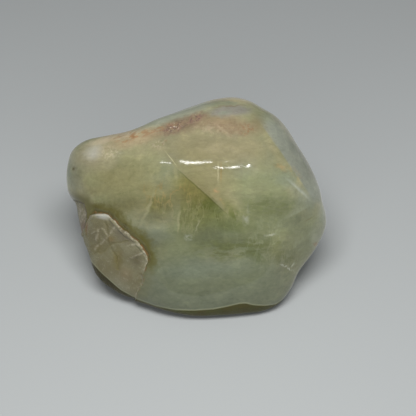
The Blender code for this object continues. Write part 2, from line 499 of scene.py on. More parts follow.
@dataclass
class ShadedFoot:
    """The foot of the stone below a crisp edge across the leaning line, which the finish paints dark as the
    shade and shadow under the stone.
    """

    edge: Path = (
        (-0.0253, -0.0124),
        (-0.0224, -0.0153),
        (-0.0181, -0.0191),
        (-0.0141, -0.0213),
        (-0.0097, -0.0228),
        (-0.0052, -0.0236),
        (-0.0007, -0.0237),
        (0.0037, -0.0234),
        (0.0067, -0.0228),
        (0.0097, -0.0221),
        (0.0112, -0.0220),
        (0.0130, -0.0225),
        (0.0157, -0.0227),
        (0.0181, -0.0225),
        (0.0202, -0.0213),
    )
    far_left: Pair = (-0.0270, 0.0066)
    far_right: Pair = (0.0200, 0.0004)

    def below(self, places: np.ndarray, heights: np.ndarray, behind: np.ndarray) -> np.ndarray:
        """Gives how far points lie below the foot's edge, which sinks to the right round the far side.

        Args:
            places: Where the points lie across the leaning line.
            heights: The points' heights above the floor.
            behind: How far round the back the points are, from 0 to 1.

        Returns:
            The distance below the edge, less than zero above it.
        """
        across, rise = np.array(self.edge).T
        near = np.interp(places[:, 0], across, rise) - places[:, 1]
        far = np.interp(places[:, 0], *zip(self.far_left, self.far_right)) - heights
        return near * (1.0 - behind) + far * behind


@dataclass
class RustBand:
    """The rusty, pitted band along the ridge, as a path across the leaning line with a half-width."""

    path: Path = (
        (-0.0212, 0.0166),
        (-0.0160, 0.0169),
        (-0.0105, 0.0176),
        (-0.0055, 0.0188),
        (-0.0005, 0.0207),
        (0.0030, 0.0212),
    )
    half_width: float = 0.0019

    def share(self, places: np.ndarray) -> np.ndarray:
        """Gives how deep in the band places lie, from 0 at its edge to 1 at its middle."""
        return 1.0 - smooth(from_path(places, self.path), 0.0, self.half_width)


class Board:
    """Wires the nodes of one tree."""

    def __init__(self, tree: bpy.types.NodeTree) -> None:
        """Takes the tree to wire."""
        self.tree = tree

    def add(self, kind: str, feeds: dict[int, Feed], **settings: object) -> bpy.types.Node:
        """Adds a node.

        Args:
            kind: The node's type.
            feeds: A socket or a value for each input, by its place in the node's list.
            **settings: The node's own settings.

        Returns:
            The node.
        """
        node = self.tree.nodes.new(kind)
        for name, setting in settings.items():
            setattr(node, name, setting)
        for place, feed in feeds.items():
            if isinstance(feed, Socket):
                self.tree.links.new(feed, node.inputs[place])
            else:
                node.inputs[place].default_value = feed
        return node

    def math(self, operation: str, first: Feed, second: Feed = 0.0) -> Socket:
        """Adds a math node and gives its result."""
        return self.add("ShaderNodeMath", {0: first, 1: second}, operation=operation).outputs[0]

    def times(self, first: Feed, second: Feed) -> Socket:
        """Multiplies two values."""
        return self.math("MULTIPLY", first, second)

    def vector(self, operation: str, first: Feed, second: Feed) -> Socket:
        """Adds a vector math node and gives its vector."""
        return self.add("ShaderNodeVectorMath", {0: first, 1: second}, operation=operation).outputs[0]

    def step(self, value: Feed, start: float, end: float, top: float = 1.0) -> Socket:
        """Adds a soft step.

        Args:
            value: The value to step.
            start: Where the step leaves 0.
            end: Where the step reaches its top.
            top: The height of the step.

        Returns:
            The stepped value.
        """
        feeds = {0: value, 1: start, 2: end, 3: 0.0, 4: top}
        return self.add("ShaderNodeMapRange", feeds, interpolation_type="SMOOTHSTEP").outputs[0]

    def mix(self, share: Feed, first: Feed, second: Feed, blend: str = "MIX") -> Socket:
        """Adds a colour mix.

        Args:
            share: How much of the second colour there is.
            first: The first colour.
            second: The second colour.
            blend: How they mix.

        Returns:
            The mixed colour.
        """
        feeds = {0: share, 6: first, 7: second}
        return self.add("ShaderNodeMix", feeds, data_type="RGBA", blend_type=blend).outputs[2]

    def noise(self, place: Feed, size: float, detail: float = 2.0, rough: float = 0.5) -> Socket:
        """Adds a noise whose lumps have a size in metres."""
        feeds = {0: place, 2: 1.0 / size, 3: detail, 4: rough}
        return self.add("ShaderNodeTexNoise", feeds).outputs["Fac"]

    def attribute(self, name: str) -> Socket:
        """Reads a number kept on the mesh."""
        return self.add("ShaderNodeAttribute", {}, attribute_name=name).outputs["Fac"]

    def part(self, vector: Feed, which: int) -> Socket:
        """Gives one part of a vector."""
        return self.add("ShaderNodeSeparateXYZ", {0: vector}).outputs[which]

    def wander(self, place: Socket, size: float, far: float) -> Socket:
        """Pushes places about by a noise.

        Args:
            place: The places.
            size: The size of the noise's lumps.
            far: How far places move at most.

        Returns:
            The moved places.
        """
        apart = (0.0, 0.13, 0.29)
        shifted = [self.vector("ADD", place, (step, step, step)) for step in apart]
        lump = [self.noise(moved, size) for moved in shifted]
        together = self.add("ShaderNodeCombineXYZ", dict(enumerate(lump))).outputs[0]
        centred = self.vector("SUBTRACT", together, (0.5, 0.5, 0.5))
        shift = self.vector("MULTIPLY", centred, (2.0 * far, 2.0 * far, 2.0 * far))
        return self.vector("ADD", place, shift)


@dataclass(frozen=True)
class Pattern:
    """A noise that breaks a cloud up: its stretch, its size, detail and roughness, and its soft step."""

    noise: Triple
    fade: Pair
    stretch: Triple = (1.0, 1.0, 1.0)
    ridged: bool = False

    def share(self, board: Board, place: Socket) -> Socket:
        """Gives how much of a cloud the pattern leaves.

        Args:
            board: The tree being wired.
            place: Places from the stone's middle.

        Returns:
            The share from 0 to 1.
        """
        value = board.noise(board.vector("MULTIPLY", place, self.stretch), *self.noise)
        if self.ridged:
            value = board.math("ABSOLUTE", board.math("SUBTRACT", value, 0.5))
        return board.step(value, *self.fade)


UPRIGHT: Triple = (1.0, 0.35, 1.0)
LYING: Triple = (0.30, 1.0, 1.0)


class Grain(Enum):
    """How a cloud breaks up."""

    NONE = None
    FINE = Pattern((0.0011, 3.0, 0.6), (0.40, 0.60))
    SPECKLED = Pattern((0.0006, 2.0, 0.6), (0.50, 0.57))
    DOTTED = Pattern((0.0005, 1.0, 0.5), (0.57, 0.63))
    WISPY = Pattern((0.0014, 4.0, 0.65), (0.44, 0.66), UPRIGHT)
    RAGGED = Pattern((0.0021, 5.0, 0.70), (0.43, 0.52), UPRIGHT)
    STREAKED = Pattern((0.0009, 3.0, 0.6), (0.44, 0.58), LYING)
    LAYERED = Pattern((0.0015, 5.0, 0.68), (0.44, 0.56), LYING)
    THREADED = Pattern((0.0036, 4.0, 0.6), (0.030, 0.006), UPRIGHT, ridged=True)


class Side(Enum):
    """Which side of its own long middle line a cloud fills."""

    BOTH = 0
    ABOVE = 1
    BELOW = -1


@dataclass(frozen=True)
class Cloud:
    """A soft stain, veil or crack seen in the stone, or a patch of painted highlight, light or shade, as an
    ellipse across the leaning line.
    """

    tone: Triple
    at: Pair
    half: Pair
    turn: float
    strength: float
    edge: float
    side: Side = Side.BOTH
    grain: Grain = Grain.NONE
    steady: bool = False
    front: float = 0.012
    through: float = 0.026
    crisp: float = 0.00025

    def share(self, board: Board, place: Socket, grains: dict[Grain, Socket]) -> Socket:
        """Gives how strong the cloud is at each place.

        Args:
            board: The tree being wired.
            place: Places from the stone's middle.
            grains: The patterns that break clouds up.

        Returns:
            The share from 0 to the cloud's strength.
        """
        turn = (0.0, 0.0, math.radians(self.turn))
        feeds = {0: place, 1: (*self.at, self.front), 2: turn, 3: (*self.half, self.through)}
        local = board.add("ShaderNodeMapping", feeds, vector_type="TEXTURE").outputs[0]
        within = board.add("ShaderNodeTexGradient", {0: local}, gradient_type="SPHERICAL").outputs["Fac"]
        share = board.step(within, 0.0, self.edge, self.strength)
        if self.side is not Side.BOTH:
            crisp = self.crisp / self.half[1] * self.side.value
            share = board.times(share, board.step(board.part(local, 1), -crisp, crisp))
        if self.grain is not Grain.NONE:
            share = board.times(share, grains[self.grain])
        return share

    def over(self, board: Board, colour: Socket, place: Socket, grains: dict[Grain, Socket]) -> Socket:
        """Lays the cloud over a colour."""
        return board.mix(self.share(board, place, grains), colour, display(*self.tone))


@dataclass(frozen=True)
class BerylGround:
    """The milky polished stone away from its clouds, and the uneven tones that lie over them."""

    green: Colour = display(124, 129, 96)
    cream: Colour = display(148, 146, 112)
    cream_size: float = 0.012
    cream_fade: Pair = (0.40, 0.62)
    haze: Colour = display(118, 126, 106)
    haze_size: float = 0.009
    haze_apart: Triple = (0.3, 0.1, 0.7)
    haze_fade: Triple = (0.45, 0.65, 0.7)
    drift_detail: float = 3.0
    bend: Pair = (0.0050, 0.0009)
    light: Colour = (1.0, 1.0, 0.90, 1.0)
    dark: Colour = (0.0, 0.03, 0.0, 1.0)
    cell_size: float = 0.0065
    cell_fades: tuple[Triple, Triple] = ((0.55, 0.95, 0.05), (0.45, 0.05, 0.05))
    milk_stretch: Triple = (0.5, 1.0, 1.0)
    milk_noise: Triple = (0.0026, 5.0, 0.62)
    milk_fades: tuple[Triple, Triple] = ((0.50, 0.74, 0.20), (0.50, 0.26, 0.18))
    speck_stretch: Triple = (0.55, 1.0, 1.0)
    speck_noise: Triple = (0.0007, 4.0, 0.7)
    speck_fades: tuple[Triple, Triple] = ((0.51, 0.66, 0.13), (0.49, 0.34, 0.13))
    tint: Triple = (1.0, 0.975, 1.0)

    def plain(self, board: Board, place: Socket) -> Socket:
        """Gives the stone's own colour: green, cream and haze that drift into each other.

        Args:
            board: The tree being wired.
            place: Places from the stone's middle.

        Returns:
            The colour.
        """
        drift = board.noise(place, self.cream_size, self.drift_detail)
        haze = board.noise(board.vector("ADD", place, self.haze_apart), self.haze_size, self.drift_detail)
        colour = board.mix(board.step(drift, *self.cream_fade), self.green, self.cream)
        return board.mix(board.step(haze, *self.haze_fade), colour, self.haze)

    def mottled(self, board: Board, colour: Socket, place: Socket) -> Socket:
        """Lays small uneven tones and the angular planes of healed cracks over a colour.

        Args:
            board: The tree being wired.
            colour: The colour so far.
            place: Places from the stone's middle.

        Returns:
            The mottled colour.
        """
        bent = board.wander(place, *self.bend)
        feeds = {0: bent, 2: 1.0 / self.cell_size}
        cells = board.add("ShaderNodeTexVoronoi", feeds, feature="F1").outputs["Color"]
        cell = board.add("ShaderNodeSeparateColor", {0: cells}).outputs[0]
        milk = board.noise(board.vector("MULTIPLY", bent, self.milk_stretch), *self.milk_noise)
        speck = board.noise(board.vector("MULTIPLY", bent, self.speck_stretch), *self.speck_noise)
        for value, fades in ((cell, self.cell_fades), (milk, self.milk_fades), (speck, self.speck_fades)):
            for tone, fade in zip((self.light, self.dark), fades):
                colour = board.mix(board.step(value, *fade), colour, tone, "SOFT_LIGHT")
        return board.vector("MULTIPLY", colour, self.tint)


@dataclass(frozen=True)
class SkinTones:
    """The colours of the rough skin, its surroundings and the foot; the edge tone is a painted highlight, the
    foot tones are painted shade and shadow, and the groove tone is partly painted shade.
    """

    beige: Colour = display(113, 110, 86)
    dull: Colour = display(104, 99, 74)
    stain: Colour = display(100, 92, 52)
    crease: Colour = display(92, 84, 40)
    lip: Colour = display(168, 162, 142)
    ledge: Colour = display(130, 124, 108)
    rust: Colour = display(112, 80, 44)
    # Brown stain deepened by painted shade in the groove round the rim; the same tone draws the dark line
    # round the ledge and mottles the foot.
    groove: Colour = display(66, 58, 24)
    halo: Colour = display(84, 80, 38)
    # Painted highlight: the pale line along the foot's crisp edge.
    edge: Colour = display(136, 138, 112)
    # Painted shade: the dark strip of underside where shadow falls under the stone.
    foot: Colour = display(66, 66, 30)
    # Painted shadow: the foot's darkest part, at its left.
    foot_shadow: Colour = display(46, 40, 16)


@dataclass(frozen=True)
class RimStainAndShade:
    """The brown halo, the dark groove and the rust on the polished stone just outside the skin's rim; the
    groove's dark is a brown stain deepened by painted shade.
    """

    tones: SkinTones = SkinTones()
    uneven: Triple = (0.0011, 3.0, 0.6)
    spread: float = 0.0030
    halo_fade: Triple = (-0.0034, -0.0010, 0.90)
    ledge_fade: Triple = (-0.0030, -0.0008, 0.95)
    groove_stain_and_shade_fade: Triple = (-0.0011, -0.0002, 0.60)
    rust_fade: Triple = (-0.00045, -0.00015, 0.75)
    rust_gaps: Pair = (0.44, 0.56)
    matt_fade: Triple = (-0.0010, -0.0003, 0.3)

    def over(self, board: Board, colour: Socket, place: Socket) -> Socket:
        """Lays the stain over a colour.

        Args:
            board: The tree being wired.
            colour: The colour so far.
            place: Places from the stone's middle.

        Returns:
            The stained colour.
        """
        inside = board.attribute("skin_inside")
        strength = board.attribute("rim_strength")
        uneven = board.noise(place, *self.uneven)
        shift = board.times(board.math("SUBTRACT", uneven, 0.5), self.spread)
        spread = board.math("ADD", inside, shift)
        halo = board.times(board.step(spread, *self.halo_fade), strength)
        colour = board.mix(halo, colour, self.tones.halo)
        beside = board.step(board.attribute("ledge_inside"), *self.ledge_fade)
        colour = board.mix(beside, colour, self.tones.halo)
        # The groove: brown stain deepened by painted shade.
        groove = board.times(board.step(spread, *self.groove_stain_and_shade_fade), strength)
        colour = board.mix(groove, colour, self.tones.groove)
        rust = board.times(board.step(inside, *self.rust_fade), board.step(uneven, *self.rust_gaps))
        return board.mix(board.times(rust, strength), colour, self.tones.rust)

    def matt(self, board: Board) -> Socket:
        """Gives how matt the stone is in the groove."""
        near = board.step(board.attribute("skin_inside"), *self.matt_fade)
        return board.times(near, board.attribute("rim_strength"))


@dataclass(frozen=True)
class LedgeFinish:
    """The lower ledge beside the skin, with a dark line round it."""

    tones: SkinTones = SkinTones()
    grain: Triple = (0.0012, 4.0, 0.7)
    pale_fade: Pair = (0.40, 0.62)
    lip_fade: Triple = (0.56, 0.70, 0.6)
    line_fade: Triple = (0.00030, 0.00010, 0.7)
    ledge_fade: Pair = (-0.00020, 0.00005)
    matt_fade: Pair = (-0.00005, 0.00015)
    stain: Cloud = Cloud((100, 78, 64), (-0.0270, -0.0052), (0.0024, 0.0034), 0, 0.9, 0.8)

    def over(self, board: Board, colour: Socket, place: Socket) -> Socket:
        """Lays the ledge over a colour.

        Args:
            board: The tree being wired.
            colour: The colour so far.
            place: Places from the stone's middle.

        Returns:
            The colour with the ledge.
        """
        inside = board.attribute("ledge_inside")
        fine = board.noise(place, *self.grain)
        ledge = board.mix(board.step(fine, *self.pale_fade), self.tones.dull, self.tones.ledge)
        ledge = board.mix(board.step(fine, *self.lip_fade), ledge, self.tones.lip)
        ledge = self.stain.over(board, ledge, place, {})
        ledge = board.mix(board.step(inside, *self.line_fade), ledge, self.tones.groove)
        return board.mix(board.step(inside, *self.ledge_fade), colour, ledge)

    def matt(self, board: Board) -> Socket:
        """Gives where the ledge is matt."""
        return board.step(board.attribute("ledge_inside"), *self.matt_fade)


@dataclass(frozen=True)
class SkinFinish:
    """The rough natural skin, with its stains, creases, crests and pale lip, and a pale band at its top that
    is partly painted light.
    """

    stains: tuple[Cloud, ...]
    tones: SkinTones = SkinTones()
    broad: Pair = (0.0050, 3.0)
    fine: Triple = (0.0009, 4.0, 0.7)
    dull_fade: Pair = (0.42, 0.62)
    pale_fade: Triple = (0.52, 0.72, 0.20)
    stain_fade: Triple = (0.46, 0.28, 0.25)
    crease_fade: Triple = (0.30, 0.55, 0.50)
    crest_fade: Triple = (0.35, 0.55, 0.42)
    lip_fade: Triple = (0.0007, 0.0001, 0.65)
    lip_gaps: Pair = (0.38, 0.60)
    skin_fade: Pair = (-0.00005, 0.00010)

    def colour(self, board: Board, place: Socket) -> Socket:
        """Gives the skin's colour.

        Args:
            board: The tree being wired.
            place: Places from the stone's middle.

        Returns:
            The colour.
        """
        tones = self.tones
        inside = board.attribute("skin_inside")
        broad = board.noise(place, *self.broad)
        fine = board.noise(place, *self.fine)
        colour = board.mix(board.step(broad, *self.dull_fade), tones.beige, tones.dull)
        for stain in self.stains:
            colour = stain.over(board, colour, place, {})
        colour = board.mix(board.step(fine, *self.pale_fade), colour, tones.lip)
        colour = board.mix(board.step(fine, *self.stain_fade), colour, tones.stain)
        crease = board.times(board.attribute("skin_crease"), board.step(fine, *self.crease_fade))
        colour = board.mix(crease, colour, tones.crease)
        crest = board.times(board.attribute("skin_crest"), board.step(fine, *self.crest_fade))
        colour = board.mix(crest, colour, tones.lip)
        lip = board.times(board.step(inside, *self.lip_fade), board.attribute("rim_strength"))
        return board.mix(board.times(lip, board.step(fine, *self.lip_gaps)), colour, tones.lip)

    def matt(self, board: Board) -> Socket:
        """Gives where the skin is matt."""
        return board.step(board.attribute("skin_inside"), *self.skin_fade)


@dataclass(frozen=True)
class FootShadeFinish:
    """The matt foot, painted dark as the shade and shadow under the stone and darkest at its left, below a
    painted highlight along its crisp edge.
    """

    tones: SkinTones = SkinTones()
    edge_highlight_fade: Triple = (-0.00035, -0.00005, 0.5)
    foot_fade: Pair = (0.0, 0.00020)
    uneven_size: float = 0.0040
    uneven_fade: Triple = (0.4, 0.6, 0.6)
    left_shadow_fade: Triple = (-0.0120, -0.0220, 0.9)

    def over(self, board: Board, colour: Socket, place: Socket) -> Socket:
        """Lays the foot over a colour.

        Args:
            board: The tree being wired.
            colour: The colour so far.
            place: Places from the stone's middle.

        Returns:
            The colour with the foot.
        """
        # Painted highlight: a pale line just above the foot's edge.
        edge = board.step(board.attribute("below_foot"), *self.edge_highlight_fade)
        colour = board.mix(edge, colour, self.tones.edge)
        # Painted shade and shadow: the dark foot, darker still towards the left.
        uneven = board.step(board.noise(place, self.uneven_size), *self.uneven_fade)
        foot = board.mix(uneven, self.tones.foot, self.tones.groove)
        foot = board.mix(board.step(board.part(place, 0), *self.left_shadow_fade), foot, self.tones.foot_shadow)
        return board.mix(self.matt(board), colour, foot)

    def matt(self, board: Board) -> Socket:
        """Gives where the foot is matt."""
        return board.step(board.attribute("below_foot"), *self.foot_fade)


@dataclass(frozen=True)
class StoneFinish:
    """The finish of the whole stone: milky polished beryl, and matt skin where the rim encloses it."""

    name: str
    middle: Triple
    lean: float
    clouds: tuple[Cloud, ...]
    skin: SkinFinish
    ground: BerylGround = BerylGround()
    rim: RimStainAndShade = RimStainAndShade()
    ledge: LedgeFinish = LedgeFinish()
    foot: FootShadeFinish = FootShadeFinish()
    steady_bend: Pair = (0.0012, 0.00012)
    broad_bend: Pair = (0.0060, 0.0010)
    fine_bend: Pair = (0.0012, 0.00045)
    polish: float = 0.05
    matt: float = 0.78
    scuff_noise: Triple = (0.0035, 4.0, 0.6)
    scuff_fade: Triple = (0.35, 0.75, 0.05)
    grain_noise: Triple = (0.0007, 4.0, 0.7)
    grain_height: float = 0.00022
    wave_size: float = 0.0030
    wave_height: float = 0.00002
    ior: float = 1.58
    milk: float = 0.35
    milk_reach: Triple = (1.0, 1.1, 0.75)
    milk_depth: float = 0.0016
    sheen: float = 0.16
    sheen_spread: float = 0.35
    sheen_tint: Colour = (0.95, 0.95, 0.82, 1.0)

    def place(self, board: Board) -> Socket:
        """Gives places from the stone's middle: to the right, up across the leaning line, and along it.

        Args:
            board: The tree being wired.

        Returns:
            The places.
        """
        coordinate = board.add("ShaderNodeTexCoord", {}).outputs["Object"]
        turn = (math.pi / 2.0 - self.lean, 0.0, 0.0)
        feeds = {0: coordinate, 1: self.middle, 2: turn}
        return board.add("ShaderNodeMapping", feeds, vector_type="TEXTURE").outputs[0]

    def dress(self) -> bpy.types.Material:
        """Makes the material.

        Returns:
            The material.
        """
        material = bpy.data.materials.new(self.name)
        material.use_nodes = True
        material.node_tree.nodes.clear()
        board = Board(material.node_tree)
        place = self.place(board)
        steady = board.wander(place, *self.steady_bend)
        bent = board.wander(board.wander(place, *self.broad_bend), *self.fine_bend)
        grains = {grain: grain.value.share(board, place) for grain in Grain if grain.value}
        colour = self.ground.plain(board, place)
        for cloud in self.clouds:
            colour = cloud.over(board, colour, steady if cloud.steady else bent, grains)
        colour = self.ground.mottled(board, colour, place)
        colour = self.rim.over(board, colour, place)
        colour = self.ledge.over(board, colour, place)
        colour = board.mix(self.skin.matt(board), colour, self.skin.colour(board, place))
        # The foot: painted shade and shadow under the stone, below a painted highlight along its edge.
        colour = self.foot.over(board, colour, place)
        rough_share = self.skin.matt(board)
        for part in (self.ledge, self.rim, self.foot):
            rough_share = board.math("MAXIMUM", rough_share, part.matt(board))
        self.shade(board, place, colour, rough_share)
        return material

    def shade(self, board: Board, place: Socket, colour: Socket, rough_share: Socket) -> None:
        """Ends the material in its shader.

        Args:
            board: The tree being wired.
            place: Places from the stone's middle.
            colour: The finished colour.
            rough_share: Where the stone is matt.
        """
        scuff = board.step(board.noise(place, *self.scuff_noise), *self.scuff_fade)
        polish = board.math("ADD", scuff, self.polish)
        rougher = board.times(rough_share, board.math("SUBTRACT", self.matt, polish))
        roughness = board.math("ADD", polish, rougher)
        grain = board.times(board.noise(place, *self.grain_noise), rough_share)
        wave = board.times(board.noise(place, self.wave_size), self.wave_height)
        height = board.math("ADD", board.times(grain, self.grain_height), wave)
        bump = board.add("ShaderNodeBump", {0: 1.0, 1: 1.0})
        shader = board.tree.nodes.new("ShaderNodeBsdfPrincipled")
        output = board.tree.nodes.new("ShaderNodeOutputMaterial")
        for source, entry in (
            (height, bump.inputs["Height"]),
            (colour, shader.inputs["Base Color"]),
            (roughness, shader.inputs["Roughness"]),
            (bump.outputs["Normal"], shader.inputs["Normal"]),
            (shader.outputs["BSDF"], output.inputs["Surface"]),
        ):
            board.tree.links.new(source, entry)
        for name, value in (
            ("IOR", self.ior),
            ("Subsurface Weight", self.milk),
            ("Subsurface Radius", self.milk_reach),
            ("Subsurface Scale", self.milk_depth),
            ("Sheen Weight", self.sheen),
            ("Sheen Roughness", self.sheen_spread),
            ("Sheen Tint", self.sheen_tint),
        ):
            shader.inputs[name].default_value = value


@dataclass
class FineRelief:
    """A Geometry Nodes tree that roughens the skin and pits the rusty band of a dressed stone."""

    skin_grain: float = 0.0011
    skin_height: float = 0.00004
    skin_detail: float = 3.0
    skin_rough: float = 0.6
    skin_fade: Pair = (0.0, 0.0003)
    pit_spacing: float = 0.0009
    pit_depth: float = 0.00010
    pit_fade: Pair = (0.45, 0.15)
    band_fade: Pair = (0.15, 0.60)
    seed: int = 7

    def tree(self) -> bpy.types.GeometryNodeTree:
        """Builds the tree.

        Returns:
            The tree, with named inputs.
        """
        tree = bpy.data.node_groups.new("fine_relief", "GeometryNodeTree")
        self.sockets(tree)
        board = Board(tree)
        entry = tree.nodes.new("NodeGroupInput")
        leave = tree.nodes.new("NodeGroupOutput")
        position = tree.nodes.new("GeometryNodeInputPosition").outputs[0]
        normal = tree.nodes.new("GeometryNodeInputNormal").outputs[0]
        lumps_high = self.skin_lumps(board, entry, position)
        pits_deep = self.band_pits(board, entry, position)
        height = board.math("SUBTRACT", lumps_high, pits_deep)
        offset = board.add("ShaderNodeVectorMath", {0: normal, 3: height}, operation="SCALE").outputs[0]
        moved = tree.nodes.new("GeometryNodeSetPosition")
        tree.links.new(entry.outputs["Geometry"], moved.inputs["Geometry"])
        tree.links.new(offset, moved.inputs["Offset"])
        real = tree.nodes.new("GeometryNodeRealizeInstances")
        tree.links.new(moved.outputs["Geometry"], real.inputs["Geometry"])
        dressed = tree.nodes.new("GeometryNodeSetMaterial")
        tree.links.new(real.outputs["Geometry"], dressed.inputs["Geometry"])
        tree.links.new(entry.outputs["Finish"], dressed.inputs["Material"])
        tree.links.new(dressed.outputs["Geometry"], leave.inputs["Geometry"])
        return tree

    def sockets(self, tree: bpy.types.GeometryNodeTree) -> None:
        """Gives the tree its named inputs and its output.

        Args:
            tree: The tree.
        """
        tree.interface.new_socket("Geometry", in_out="INPUT", socket_type="NodeSocketGeometry")
        tree.interface.new_socket("Geometry", in_out="OUTPUT", socket_type="NodeSocketGeometry")
        for name in ("Skin Grain", "Skin Height", "Pit Spacing", "Pit Depth", "Seed"):
            tree.interface.new_socket(name, in_out="INPUT", socket_type="NodeSocketFloat")
        tree.interface.new_socket("Finish", in_out="INPUT", socket_type="NodeSocketMaterial")

    def kept(self, board: Board, name: str) -> Socket:
        """Reads a number kept on the mesh's points."""
        node = board.add("GeometryNodeInputNamedAttribute", {0: name}, data_type="FLOAT")
        return node.outputs["Attribute"]

    def skin_lumps(self, board: Board, entry: bpy.types.Node, position: Socket) -> Socket:
        """Gives the skin's fine lumps.

        Args:
            board: The tree being wired.
            entry: The tree's input node.
            position: The points' positions.

        Returns:
            The height at each point.
        """
        scale = board.math("DIVIDE", 1.0, entry.outputs["Skin Grain"])
        feeds = {0: position, 1: entry.outputs["Seed"], 2: scale, 3: self.skin_detail, 4: self.skin_rough}
        lump = board.add("ShaderNodeTexNoise", feeds, noise_dimensions="4D").outputs[0]
        centred = board.math("SUBTRACT", lump, 0.5)
        share = board.step(self.kept(board, "skin_inside"), *self.skin_fade)
        height = board.times(centred, entry.outputs["Skin Height"])
        return board.times(board.times(height, 2.0), share)

    def band_pits(self, board: Board, entry: bpy.types.Node, position: Socket) -> Socket:
        """Gives the rusty band's pits.

        Args:
            board: The tree being wired.
            entry: The tree's input node.
            position: The points' positions.

        Returns:
            The depth at each point.
        """
        scale = board.math("DIVIDE", 1.0, entry.outputs["Pit Spacing"])
        cell = board.add("ShaderNodeTexVoronoi", {0: position, 2: scale}, feature="F1").outputs["Distance"]
        pit = board.step(cell, *self.pit_fade)
        share = board.step(self.kept(board, "band_share"), *self.band_fade)
        depth = board.times(pit, entry.outputs["Pit Depth"])
        return board.times(depth, share)

    def apply(self, piece: bpy.types.Object, finish: bpy.types.Material) -> bpy.types.Object:
        """Runs the tree over a piece and keeps the result as a plain mesh.

        Args:
            piece: The piece to roughen, which is removed.
            finish: The piece's material.

        Returns:
            The roughened piece.
        """
        tree = self.tree()
        modifier = piece.modifiers.new("fine_relief", "NODES")
        modifier.node_group = tree
        values = {
            "Skin Grain": self.skin_grain,
            "Skin Height": self.skin_height,
            "Pit Spacing": self.pit_spacing,
            "Pit Depth": self.pit_depth,
            "Seed": float(self.seed),
            "Finish": finish,
        }
        for item in tree.interface.items_tree:
            if item.in_out == "INPUT" and item.name in values:
                modifier[item.identifier] = values[item.name]
        graph = bpy.context.evaluated_depsgraph_get()
        mesh = bpy.data.meshes.new_from_object(piece.evaluated_get(graph))
        name = piece.name
        bpy.data.objects.remove(piece)
        plain = bpy.data.objects.new(name, mesh)
        bpy.context.scene.collection.objects.link(plain)
        return plain


